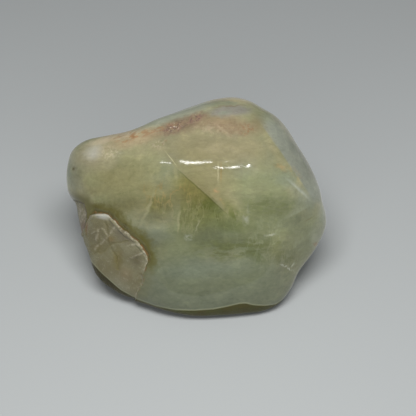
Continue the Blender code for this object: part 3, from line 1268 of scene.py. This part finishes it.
@dataclass
class Stone:
    """The whole stone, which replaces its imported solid."""

    line: LeaningLine = LeaningLine()
    middle: Triple = (0.0, -0.0025, 0.0155)
    waves: tuple[Pair, ...] = ((0.016, 0.00030), (0.007, 0.00008))
    forms: tuple[SoftForm, ...] = (
        SoftForm(((-0.0262, 0.0096), (-0.0250, 0.0104)), 0.0050, 0.0004),
        SoftForm(
            ((0.0283, 0.0012), (0.0272, -0.0017), (0.0231, -0.0040), (0.0165, -0.0058)), 0.0018, -0.00028
        ),
    )
    dents: tuple[SoftForm, ...] = (
        SoftForm(((-0.0289, 0.0090), (-0.0288, 0.0091)), 0.0004, -0.00030),
        SoftForm(((-0.0205, 0.0002), (-0.0204, 0.0001)), 0.0003, -0.00022),
        SoftForm(((0.0198, -0.0140), (0.0230, -0.0143)), 0.0003, -0.00012),
    )
    far_fade: Pair = (-0.0060, -0.0010)
    far_outside: float = 0.01
    facing_fade: Pair = (0.10, 0.35)
    sphere_steps: int = 7
    fine_margin: float = 0.0014
    cut_margin: float = 1e-6
    sharp_edge: float = math.radians(40)

    def __post_init__(self) -> None:
        """Makes the stone's forms."""
        self.body = PolishedBody(self.line)
        self.skin = RoughSkin()
        self.band = RustBand()
        self.foot = ShadedFoot()

    def relief(self, points: np.ndarray) -> np.ndarray:
        """Gives the heights added to the plain body.

        Args:
            points: Points from the stone's middle, one to a row.

        Returns:
            The height at each point.
        """
        places = self.line.places(points)
        near = smooth(points @ self.line.along, *self.far_fade)
        heights = self.skin.heights(places, points)
        for form in self.forms + self.dents:
            heights += form.heights(places)
        return near * heights + lumps(points, self.waves)

    def near_details(self, points: np.ndarray) -> np.ndarray:
        """Tells which points lie at the skin, its ledge or the rusty band.

        Args:
            points: Points from the stone's middle, one to a row.

        Returns:
            Whether each lies there.
        """
        places = self.line.places(points)
        near = points @ self.line.along > self.far_fade[0]
        skin = inside_loop(places, self.skin.rim) > -self.fine_margin
        ledge = inside_loop(places, self.skin.ledge) > -0.5 * self.fine_margin
        band = from_path(places, self.band.path) < self.band.half_width
        return near & (skin | ledge | band)

    def near_rim(self, points: np.ndarray) -> np.ndarray:
        """Tells which points lie at the skin's lip and groove.

        Args:
            points: Points from the stone's middle, one to a row.

        Returns:
            Whether each lies there.
        """
        places = self.line.places(points)
        near = points @ self.line.along > self.far_fade[0]
        return near & (np.abs(inside_loop(places, self.skin.rim)) < self.fine_margin)

    def split(self, shape: bmesh.types.BMesh, wanted: Callable[[np.ndarray], np.ndarray]) -> None:
        """Halves the edges whose middles are wanted.

        Args:
            shape: The unit sphere being refined.
            wanted: The test of points.
        """
        edges = list(shape.edges)
        middles = np.array([(edge.verts[0].co + edge.verts[1].co) / 2.0 for edge in edges])
        directions = middles / np.linalg.norm(middles, axis=1)[:, None]
        chosen = [edge for edge, take in zip(edges, wanted(self.body.points(directions))) if take]
        bmesh.ops.subdivide_edges(shape, edges=chosen, cuts=1, use_grid_fill=True)
        bmesh.ops.triangulate(shape, faces=list(shape.faces))
        for vertex in shape.verts:
            vertex.co.normalize()

    def surface(self) -> bmesh.types.BMesh:
        """Builds the stone's surface, flat at the bottom.

        Returns:
            The surface, with its middle where the solid's is before centring.
        """
        shape = bmesh.new()
        bmesh.ops.create_icosphere(shape, subdivisions=self.sphere_steps, radius=1.0)
        self.split(shape, self.near_details)
        self.split(shape, self.near_rim)
        directions = np.array([vertex.co for vertex in shape.verts])
        directions /= np.linalg.norm(directions, axis=1)[:, None]
        points = self.body.points(directions)
        points += directions * self.relief(points)[:, None] + np.array(self.middle)
        for vertex, point in zip(shape.verts, points):
            vertex.co = point
        everything = list(shape.verts) + list(shape.edges) + list(shape.faces)
        bmesh.ops.bisect_plane(
            shape,
            geom=everything,
            dist=self.cut_margin,
            plane_co=(0.0, 0.0, 0.0),
            plane_no=(0.0, 0.0, 1.0),
            clear_inner=True,
        )
        bmesh.ops.contextual_create(shape, geom=[edge for edge in shape.edges if edge.is_boundary])
        bmesh.ops.triangulate(shape, faces=[face for face in shape.faces if len(face.verts) > 4])
        bmesh.ops.recalc_face_normals(shape, faces=list(shape.faces))
        return shape

    def centre(self, shape: bmesh.types.BMesh) -> None:
        """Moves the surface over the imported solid, and the stone's middle with it.

        Args:
            shape: The surface.
        """
        points = np.array([vertex.co for vertex in shape.verts])
        low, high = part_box(NODE)
        wanted = (low + high) / 2.0
        middle = (points.min(axis=0) + points.max(axis=0)) / 2.0
        shift = Vector((wanted.x - middle[0], wanted.y - middle[1], 0.0))
        bmesh.ops.translate(shape, verts=list(shape.verts), vec=shift)
        self.middle = (self.middle[0] + shift.x, self.middle[1] + shift.y, self.middle[2])

    def keep(self, mesh: bpy.types.Mesh) -> None:
        """Keeps on the mesh where the skin, its ledge, the rusty band and the foot lie.

        Args:
            mesh: The stone's mesh.
        """
        flat = np.empty(len(mesh.vertices) * 3)
        mesh.vertices.foreach_get("co", flat)
        points = flat.reshape(-1, 3) - np.array(self.middle)
        places = self.line.places(points)
        behind = 1.0 - smooth(points @ self.line.along, *self.far_fade)
        wandered = self.skin.rim_wander(places)
        normals = np.empty(len(mesh.vertices) * 3)
        mesh.vertices.foreach_get("normal", normals)
        facing = normals.reshape(-1, 3) @ self.line.along
        kept = {
            "skin_inside": inside_loop(wandered, self.skin.rim) - behind * self.far_outside,
            "ledge_inside": inside_loop(wandered, self.skin.ledge) - behind * self.far_outside,
            "rim_strength": self.skin.strength(places) * (1.0 - behind),
            "skin_crest": self.skin.lines(wandered, self.skin.crests),
            "skin_crease": self.skin.lines(wandered, self.skin.creases),
            "band_share": self.band.share(places) * smooth(facing, *self.facing_fade),
            "below_foot": self.foot.below(places, flat.reshape(-1, 3)[:, 2], behind),
        }
        for name, values in kept.items():
            layer = mesh.attributes.new(name, "FLOAT", "POINT")
            layer.data.foreach_set("value", values.astype(np.float32))

    def make(self, clouds: tuple[Cloud, ...], stains: tuple[Cloud, ...]) -> bpy.types.Object:
        """Makes the dressed stone.

        Args:
            clouds: The clouds in the stone.
            stains: The stains on its rough skin, and a pale band at its top that is partly painted light.

        Returns:
            The stone, riding on the root body in place of its solid.
        """
        shape = self.surface()
        self.centre(shape)
        mesh = bpy.data.meshes.new("stone_surface")
        shape.to_mesh(mesh)
        shape.free()
        self.keep(mesh)
        mesh.shade_smooth()
        mesh.set_sharp_from_angle(angle=self.sharp_edge)
        rough = bpy.data.objects.new("dressed_stone", mesh)
        bpy.context.scene.collection.objects.link(rough)
        finish = StoneFinish("polished_beryl", self.middle, self.line.lean, clouds, SkinFinish(stains))
        stone = FineRelief().apply(rough, finish.dress())
        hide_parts(NODE)
        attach(stone, "root")
        return stone


def stone_clouds() -> tuple[Cloud, ...]:
    """Lists the clouds in the stone, in the order in which they lie over each other.

    Returns:
        The clouds.
    """
    return (
        # Broad drifts
        # Partly the stone's own green, partly painted shade: this drift darkens the whole lower part, where
        # the lower front gets less light.
        Cloud((93, 99, 79), (0.0019, -0.0186), (0.0358, 0.0138), 0, 0.95, 0.7),
        Cloud((100, 106, 82), (0.0136, -0.0148), (0.0143, 0.0091), 10, 0.7, 1.0),
        Cloud((116, 125, 108), (0.0017, -0.0138), (0.0191, 0.0038), 3, 0.45, 1.0),
        Cloud((104, 110, 82), (0.0243, -0.0067), (0.0105, 0.0119), 0, 0.8, 0.9),
        Cloud((184, 190, 174), (0.0308, 0.0005), (0.0033, 0.0095), 0, 0.8, 1.0),
        Cloud((124, 121, 84), (-0.0181, 0.0067), (0.0138, 0.0095), 0, 0.9, 0.9),
        Cloud((91, 89, 57), (-0.0162, 0.0005), (0.0114, 0.0043), 6, 0.8, 1.0),
        Cloud((78, 79, 56), (-0.0114, -0.0076), (0.0072, 0.0048), -20, 0.8, 1.0),
        Cloud((126, 121, 92), (0.0038, 0.0138), (0.0238, 0.0086), -4, 0.95, 0.8),
        Cloud((134, 129, 103), (-0.0248, 0.0124), (0.0081, 0.0062), 10, 0.90, 0.8),
        Cloud((84, 89, 62), (0.0041, -0.0062), (0.0186, 0.0062), 0, 0.85, 0.9),
        # The cream and the olive that meet on the slanting crack
        Cloud((112, 108, 70), (-0.0043, 0.0029), (0.0134, 0.0076), -10, 0.8, 1.0),
        Cloud((97, 102, 60), (0.0024, -0.0019), (0.0105, 0.0048), -8, 0.8, 1.0),
        Cloud((112, 118, 86), (0.0153, -0.0019), (0.0105, 0.0076), 0, 0.8, 1.0),
        Cloud((118, 113, 78), (0.0002, 0.0046), (0.0134, 0.0124), -42, 0.80, 0.8, Side.ABOVE, steady=True),
        Cloud((104, 100, 54), (0.0000, 0.0047), (0.0091, 0.0062), -42, 0.85, 0.7, Side.BELOW, steady=True),
        Cloud((150, 146, 106), (-0.0079, 0.0076), (0.0086, 0.0043), 10, 0.45, 1.0, grain=Grain.WISPY),
        Cloud((136, 131, 98), (0.0038, 0.0072), (0.0081, 0.0048), -25, 0.50, 1.0),
        Cloud((142, 134, 98), (0.0036, 0.0024), (0.0031, 0.0021), -42, 0.55, 1.0, Side.ABOVE, steady=True),
        Cloud((114, 121, 94), (0.0074, -0.0057), (0.0038, 0.0019), 0, 0.50, 1.0),
        Cloud((128, 131, 106), (0.0174, 0.0019), (0.0038, 0.0021), 0, 0.50, 1.0),
        Cloud((152, 158, 136), (0.0284, -0.0076), (0.0031, 0.0043), 10, 0.60, 1.0),
        # Layers, threads and patches over the front
        Cloud((104, 109, 79), (0.0172, 0.0000), (0.0095, 0.0052), 0, 0.85, 0.8),
        Cloud((98, 104, 86), (-0.0083, -0.0067), (0.0052, 0.0029), 10, 0.75, 1.0),
        Cloud((90, 92, 48), (-0.0041, -0.0014), (0.0057, 0.0100), 84, 0.62, 0.9, Side.BELOW, steady=True),
        Cloud((94, 96, 54), (-0.0110, 0.0000), (0.0038, 0.0062), 78, 0.45, 0.9, Side.BELOW, steady=True),
        Cloud((86, 94, 56), (0.0138, -0.0100), (0.0043, 0.0033), -42, 0.60, 0.8, Side.BELOW, steady=True),
        Cloud((76, 82, 34), (0.0024, -0.0010), (0.0067, 0.0036), -36, 0.80, 0.9, grain=Grain.RAGGED),
        Cloud((80, 88, 36), (0.0043, 0.0009), (0.0045, 0.0041), -42, 0.65, 0.8, Side.BELOW, steady=True),
        Cloud((84, 88, 42), (-0.0083, 0.0007), (0.0048, 0.0031), 0, 0.55, 0.9, grain=Grain.RAGGED),
        Cloud((86, 94, 46), (0.0088, -0.0019), (0.0036, 0.0021), -45, 0.85, 0.8, grain=Grain.RAGGED),
        Cloud((90, 91, 66), (-0.0095, -0.0023), (0.0091, 0.0029), 2, 0.85, 1.0),
        Cloud((94, 91, 54), (-0.0076, 0.0007), (0.0057, 0.0036), 0, 0.60, 1.0),
        Cloud((92, 90, 50), (-0.0093, 0.0019), (0.0033, 0.0024), 0, 0.50, 1.0),
        Cloud((114, 109, 72), (-0.0114, 0.0043), (0.0043, 0.0019), 0, 0.50, 1.0),
        Cloud((154, 147, 114), (0.0052, 0.0138), (0.0081, 0.0021), 0, 0.50, 1.0),
        Cloud((90, 95, 60), (0.0210, -0.0103), (0.0038, 0.0024), 0, 0.50, 1.0),
        Cloud((94, 100, 62), (0.0107, -0.0014), (0.0038, 0.0024), -30, 0.45, 1.0),
        Cloud((108, 116, 98), (-0.0100, -0.0052), (0.0038, 0.0014), -6, 0.45, 1.0),
        Cloud((112, 112, 84), (0.0124, 0.0043), (0.0052, 0.0031), 0, 0.50, 1.0),
        Cloud((146, 152, 132), (0.0289, -0.0041), (0.0029, 0.0052), 0, 0.45, 1.0),
        Cloud((100, 104, 60), (0.0076, 0.0005), (0.0031, 0.0021), -40, 0.60, 0.9),
        Cloud((92, 100, 58), (0.0157, 0.0005), (0.0095, 0.0043), 4, 0.50, 0.8, grain=Grain.LAYERED),
        Cloud((84, 90, 50), (0.0091, -0.0091), (0.0138, 0.0033), 4, 0.65, 0.7, grain=Grain.LAYERED),
        Cloud((88, 92, 52), (0.0200, -0.0114), (0.0052, 0.0038), -30, 0.65, 0.8, grain=Grain.RAGGED),
        Cloud((92, 100, 62), (0.0086, -0.0038), (0.0062, 0.0031), 0, 0.60, 0.9),
        Cloud((124, 128, 98), (0.0143, -0.0060), (0.0114, 0.0019), 8, 0.35, 0.9, grain=Grain.LAYERED),
        Cloud((78, 72, 36), (-0.0241, 0.0002), (0.0036, 0.0017), -12, 0.75, 0.9),
        Cloud((84, 81, 54), (-0.0143, -0.0105), (0.0021, 0.0048), 12, 0.65, 1.0),
        Cloud((106, 100, 70), (-0.0241, 0.0038), (0.0043, 0.0017), 4, 0.50, 1.0),
        Cloud((134, 139, 118), (0.0110, -0.0007), (0.0019, 0.0043), 0, 0.45, 0.9, grain=Grain.WISPY),
        Cloud((92, 98, 62), (0.0191, -0.0079), (0.0043, 0.0021), 0, 0.55, 1.0),
        Cloud((136, 118, 74), (-0.0067, 0.0033), (0.0091, 0.0052), -10, 0.45, 0.8, grain=Grain.THREADED),
        Cloud((142, 140, 106), (-0.0019, -0.0019), (0.0134, 0.0062), 0, 0.22, 0.8, grain=Grain.THREADED),
        Cloud((142, 148, 124), (0.0172, -0.0076), (0.0143, 0.0095), 0, 0.18, 0.8, grain=Grain.THREADED),
        # The right shoulder and its yellow edge
        Cloud((128, 133, 120), (0.0206, 0.0107), (0.0143, 0.0100), -55, 0.92, 0.4, Side.ABOVE, steady=True),
        Cloud((148, 142, 108), (0.0176, 0.0134), (0.0081, 0.0017), -57, 0.6, 1.0),
        Cloud((164, 134, 92), (0.0193, 0.0093), (0.0036, 0.0014), -30, 0.45, 1.0, grain=Grain.FINE),
        Cloud((156, 142, 102), (0.0222, 0.0081), (0.0041, 0.0014), -47, 0.5, 1.0, grain=Grain.FINE),
        Cloud((130, 128, 108), (0.0253, 0.0114), (0.0105, 0.0012), -66, 0.5, 1.0),
        Cloud((150, 157, 140), (0.0277, 0.0043), (0.0048, 0.0095), -60, 0.5, 1.0),
        Cloud((116, 110, 82), (0.0134, 0.0200), (0.0033, 0.0029), -30, 0.8, 1.0),
        # Painted light: a lighter band along the far top right edge, standing in for the light that the edge
        # catches.
        Cloud((152, 150, 130), (0.0212, 0.0181), (0.0124, 0.0019), -52, 0.7, 0.9),
        # The knob
        # Painted highlight: a soft whitish glow on the knob's up-facing top.
        Cloud((166, 167, 154), (-0.0243, 0.0131), (0.0036, 0.0029), 30, 0.7, 1.0),
        Cloud((150, 144, 112), (-0.0205, 0.0126), (0.0043, 0.0031), 0, 0.5, 0.9),
        Cloud((170, 163, 136), (-0.0205, 0.0129), (0.0041, 0.0029), 0, 0.60, 1.0, grain=Grain.SPECKLED),
        Cloud((112, 106, 78), (-0.0281, 0.0062), (0.0033, 0.0062), 20, 0.5, 1.0),
        Cloud((140, 136, 106), (-0.0203, 0.0100), (0.0033, 0.0019), 0, 0.50, 1.0),
        Cloud((154, 151, 130), (-0.0298, 0.0124), (0.0021, 0.0052), 22, 0.55, 1.0),
        Cloud((84, 76, 44), (-0.0289, 0.0091), (0.0006, 0.00067), 0, 0.9, 0.8),
        # The ridge with its lens, peak and rusty band
        Cloud((140, 145, 126), (-0.0043, 0.0224), (0.0143, 0.0029), 20, 0.9, 0.6),
        Cloud((158, 149, 112), (0.0057, 0.0260), (0.0105, 0.0021), 2, 0.85, 0.7),
        Cloud((162, 152, 126), (-0.0191, 0.0167), (0.0095, 0.0014), 15, 0.9, 0.7),
        Cloud((148, 135, 106), (-0.0138, 0.0162), (0.0124, 0.0024), 14, 0.90, 0.8),
        Cloud((112, 98, 78), (-0.0029, 0.0193), (0.0091, 0.0029), 20, 0.92, 0.8),
        Cloud((124, 112, 86), (0.0067, 0.0191), (0.0110, 0.0029), -6, 0.80, 0.9),
        Cloud((124, 122, 112), (0.0074, 0.0222), (0.0067, 0.0021), 3, 0.92, 0.6),
        Cloud((112, 98, 74), (0.0072, 0.0235), (0.0060, 0.00033), 4, 0.55, 0.9),
        Cloud((128, 140, 118), (0.0062, 0.0217), (0.0024, 0.0010), 6, 0.50, 1.0),
        Cloud((180, 172, 134), (0.0100, 0.0255), (0.0062, 0.0017), -3, 0.75, 1.0),
        Cloud((142, 104, 68), (-0.0153, 0.0169), (0.0064, 0.0017), 16, 0.75, 0.9, grain=Grain.STREAKED),
        Cloud((136, 106, 78), (-0.0086, 0.0181), (0.0072, 0.0014), 14, 0.75, 0.9, grain=Grain.STREAKED),
        Cloud((136, 120, 94), (0.0067, 0.0191), (0.0114, 0.0029), -6, 0.60, 0.9),
        Cloud((124, 106, 84), (0.0057, 0.0188), (0.0110, 0.0029), -8, 0.50, 0.9, grain=Grain.SPECKLED),
        Cloud((162, 150, 122), (0.0033, 0.0181), (0.0095, 0.0024), -8, 0.45, 0.9, grain=Grain.FINE),
        Cloud((124, 98, 80), (-0.0057, 0.0181), (0.0043, 0.0021), 24, 0.75, 0.9, grain=Grain.FINE),
        Cloud((122, 96, 82), (-0.0007, 0.0207), (0.0041, 0.0017), 24, 0.8, 0.9, grain=Grain.FINE),
        Cloud((96, 78, 70), (-0.0052, 0.0184), (0.0057, 0.0021), 26, 0.75, 1.0, grain=Grain.SPECKLED),
        Cloud((94, 78, 72), (-0.0005, 0.0207), (0.0036, 0.0017), 22, 0.75, 1.0, grain=Grain.SPECKLED),
        Cloud((176, 164, 146), (-0.0052, 0.0186), (0.0031, 0.0014), 24, 0.85, 1.0, grain=Grain.DOTTED),
        Cloud((126, 92, 62), (0.0112, 0.0184), (0.0026, 0.0019), 0, 0.7, 1.0, grain=Grain.SPECKLED),
        Cloud((164, 154, 130), (-0.0086, 0.0145), (0.0026, 0.0017), 0, 0.60, 1.0, grain=Grain.SPECKLED),
        Cloud((138, 96, 66), (-0.0076, 0.0148), (0.0012, 0.00057), 30, 0.6, 1.0, grain=Grain.FINE),
        # Cracks, veils and threads
        Cloud((172, 168, 130), (-0.0060, 0.0112), (0.0031, 0.00021), -52, 0.60, 0.8, steady=True),
        Cloud((74, 74, 30), (0.0010, 0.0038), (0.0095, 0.00026), -42, 0.60, 0.6, steady=True),
        Cloud((170, 164, 130), (0.0047, 0.0081), (0.0033, 0.00021), 90, 0.6, 0.7, steady=True),
        Cloud((134, 116, 72), (0.0054, 0.0081), (0.0036, 0.00036), 90, 0.55, 0.8, steady=True),
        Cloud((126, 132, 98), (0.0103, 0.0062), (0.0048, 0.0052), 90, 0.5, 0.8, Side.BELOW, steady=True),
        Cloud((176, 138, 98), (0.0045, 0.0038), (0.0012, 0.0010), 0, 0.65, 1.0, grain=Grain.FINE),
        Cloud((150, 132, 88), (0.0057, 0.0019), (0.0021, 0.00052), -48, 0.5, 1.0, grain=Grain.FINE),
        Cloud((172, 180, 170), (0.0231, 0.0041), (0.0052, 0.0010), -41, 0.50, 0.9, Side.ABOVE, steady=True),
        Cloud((98, 98, 66), (0.0258, -0.0026), (0.0021, 0.00031), 27, 0.6, 0.9, steady=True),
        Cloud((150, 156, 130), (0.0234, -0.0010), (0.0057, 0.0019), 27, 0.4, 1.0, Side.ABOVE, steady=True),
        Cloud((150, 156, 144), (-0.0019, -0.0069), (0.0014, 0.0012), 0, 0.6, 1.0, grain=Grain.FINE),
        Cloud((152, 156, 140), (0.0110, -0.0026), (0.0012, 0.0021), 0, 0.5, 1.0, grain=Grain.FINE),
        Cloud((150, 148, 114), (-0.0112, 0.0000), (0.0062, 0.00057), 72, 0.5, 1.0),
        Cloud((148, 146, 112), (-0.0043, -0.0033), (0.0041, 0.00043), 86, 0.5, 1.0),
        Cloud((150, 150, 122), (-0.0002, -0.0038), (0.0029, 0.00038), 70, 0.45, 1.0),
        Cloud((176, 178, 162), (0.0165, -0.0062), (0.0024, 0.00043), 14, 0.5, 1.0, grain=Grain.FINE),
        Cloud((146, 146, 116), (0.0219, -0.0143), (0.0043, 0.0029), 0, 0.45, 1.0, grain=Grain.WISPY),
        Cloud((184, 186, 168), (0.0212, -0.0143), (0.0024, 0.00048), -32, 0.6, 1.0, grain=Grain.FINE),
        Cloud((184, 186, 168), (0.0200, -0.0134), (0.0019, 0.00033), -20, 0.5, 1.0, grain=Grain.FINE),
        Cloud((184, 186, 168), (0.0222, -0.0134), (0.0014, 0.00033), 52, 0.6, 1.0, grain=Grain.FINE),
        Cloud((136, 98, 58), (0.0279, -0.0086), (0.0010, 0.0010), 0, 0.6, 1.0),
    )


def skin_clouds() -> tuple[Cloud, ...]:
    """Lists the stains on the rough skin; the first, a pale band along its top, is partly painted light.

    Returns:
        The stains.
    """
    return (
        # Partly the skin's pale crust, partly painted light on the up-facing top edge of the skin.
        Cloud((172, 172, 164), (-0.0219, -0.0017), (0.0032, 0.0013), -10, 0.90, 0.9),
        Cloud((96, 90, 74), (-0.0172, -0.0062), (0.0050, 0.0024), -40, 0.80, 0.9),
        Cloud((92, 84, 58), (-0.0244, -0.0064), (0.0032, 0.0036), 10, 0.70, 1.0),
        Cloud((98, 91, 58), (-0.0236, -0.0095), (0.0038, 0.0020), 10, 0.80, 1.0),
        Cloud((100, 91, 52), (-0.0186, -0.0118), (0.0020, 0.0040), 0, 0.85, 1.0),
        Cloud((112, 94, 60), (-0.0201, -0.0072), (0.0014, 0.0012), 0, 0.55, 1.0),
        Cloud((112, 84, 66), (-0.0261, -0.0044), (0.0007, 0.0030), 0, 0.80, 1.0),
        Cloud((118, 104, 78), (-0.0168, -0.0156), (0.0026, 0.0030), 0, 0.60, 1.0),
        Cloud((118, 117, 98), (-0.0182, -0.0186), (0.0060, 0.0040), -40, 0.75, 1.0),
        Cloud((84, 78, 58), (-0.0140, -0.0119), (0.0024, 0.0036), 0, 0.80, 1.0),
    )


@dataclass(frozen=True)
class Lamp:
    """A soft lamp that faces the stone's crest."""

    name: str
    around: float
    above: float
    far: float
    size: Pair
    power: float
    roll: float = 0.0
    mirrored: bool = True

    def hang(self, crest: Triple) -> None:
        """Hangs the lamp.

        Args:
            crest: The point that the lamp faces.
        """
        lamp = bpy.data.lights.new(self.name, "AREA")
        lamp.shape = "RECTANGLE"
        lamp.size, lamp.size_y = self.size
        lamp.energy = self.power
        away = Vector(PolishedBody.direction(self.around, self.above))
        turn = away.to_track_quat("Z", "Y") @ Quaternion((0.0, 0.0, 1.0), math.radians(self.roll))
        holder = bpy.data.objects.new(self.name, lamp)
        holder.location = Vector(crest) + away * self.far
        holder.rotation_euler = turn.to_euler()
        holder.visible_glossy = self.mirrored
        bpy.context.scene.collection.objects.link(holder)


@dataclass
class Studio:
    """The floor, the soft lights and the camera."""

    line: LeaningLine
    floor_half: float = 2.0
    floor_colour: Colour = display(163, 166, 166)
    floor_roughness: float = 0.8
    room_colour: Colour = (0.95, 0.98, 1.0, 1.0)
    room_strength: float = 0.15
    crest: Triple = (0.0, -0.007, 0.034)
    lens: float = 135.0
    sensor: float = 36.0
    nearest: float = 0.01
    view_width: float = 0.0992
    middle_left_of_view: float = 0.0024
    lamps: tuple[Lamp, ...] = (
        Lamp("key", 2, 67, 0.34, (0.26, 0.14), 1.54, mirrored=False),
        Lamp("fill", 0, 22, 0.40, (0.40, 0.12), 0.56, mirrored=False),
        Lamp("long_pane", -11.5, 65.6, 0.60, (0.112, 0.015), 0.085, -50),
        Lamp("short_pane", 0.9, 52.6, 0.60, (0.042, 0.022), 0.060, -86),
        Lamp("end_pane", 6.95, 53.8, 0.60, (0.056, 0.017), 0.055, 75),
        Lamp("far_pane", -49, 63.5, 0.60, (0.150, 0.010), 0.06, 24),
    )

    def floor(self) -> None:
        """Lays the floor."""
        mesh = bpy.data.meshes.new("floor")
        half = self.floor_half
        corners = [(-half, -half, 0.0), (half, -half, 0.0), (half, half, 0.0), (-half, half, 0.0)]
        mesh.from_pydata(corners, [], [(0, 1, 2, 3)])
        material = bpy.data.materials.new("pale_floor")
        material.use_nodes = True
        shader = material.node_tree.nodes["Principled BSDF"]
        shader.inputs["Base Color"].default_value = self.floor_colour
        shader.inputs["Roughness"].default_value = self.floor_roughness
        mesh.materials.append(material)
        floor = bpy.data.objects.new("floor", mesh)
        bpy.context.scene.collection.objects.link(floor)

    def room(self) -> None:
        """Fills the room with even light."""
        world = bpy.data.worlds.new("room")
        world.use_nodes = True
        background = world.node_tree.nodes["Background"]
        background.inputs["Color"].default_value = self.room_colour
        background.inputs["Strength"].default_value = self.room_strength
        bpy.context.scene.world = world

    def camera(self, middle: Triple) -> None:
        """Sets the camera at the photograph's angle.

        Args:
            middle: The stone's middle.
        """
        target = np.array(middle) + self.line.right * self.middle_left_of_view
        distance = self.view_width * self.lens / self.sensor
        data = bpy.data.cameras.new("camera")
        data.lens = self.lens
        data.sensor_width = self.sensor
        data.clip_start = self.nearest
        camera = bpy.data.objects.new("camera", data)
        camera.location = Vector(target + self.line.along * distance)
        camera.rotation_euler = Vector(self.line.along).to_track_quat("Z", "Y").to_euler()
        bpy.context.scene.collection.objects.link(camera)
        bpy.context.scene.camera = camera

    def set_up(self, middle: Triple) -> None:
        """Sets up the whole studio.

        Args:
            middle: The stone's middle.
        """
        bpy.context.scene.view_settings.view_transform = "Standard"
        self.floor()
        self.room()
        for lamp in self.lamps:
            lamp.hang(self.crest)
        self.camera(middle)


def main() -> None:
    """Builds the stone and its studio in order."""
    logging.basicConfig(level=logging.INFO, format="%(message)s")
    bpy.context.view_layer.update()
    stone = Stone()
    piece = stone.make(stone_clouds(), skin_clouds())
    LOG.info("stone: %d faces", len(piece.data.polygons))
    Studio(stone.line).set_up(stone.middle)
    LOG.info("studio: floor, lights and camera")


if __name__ == "__main__":
    main()
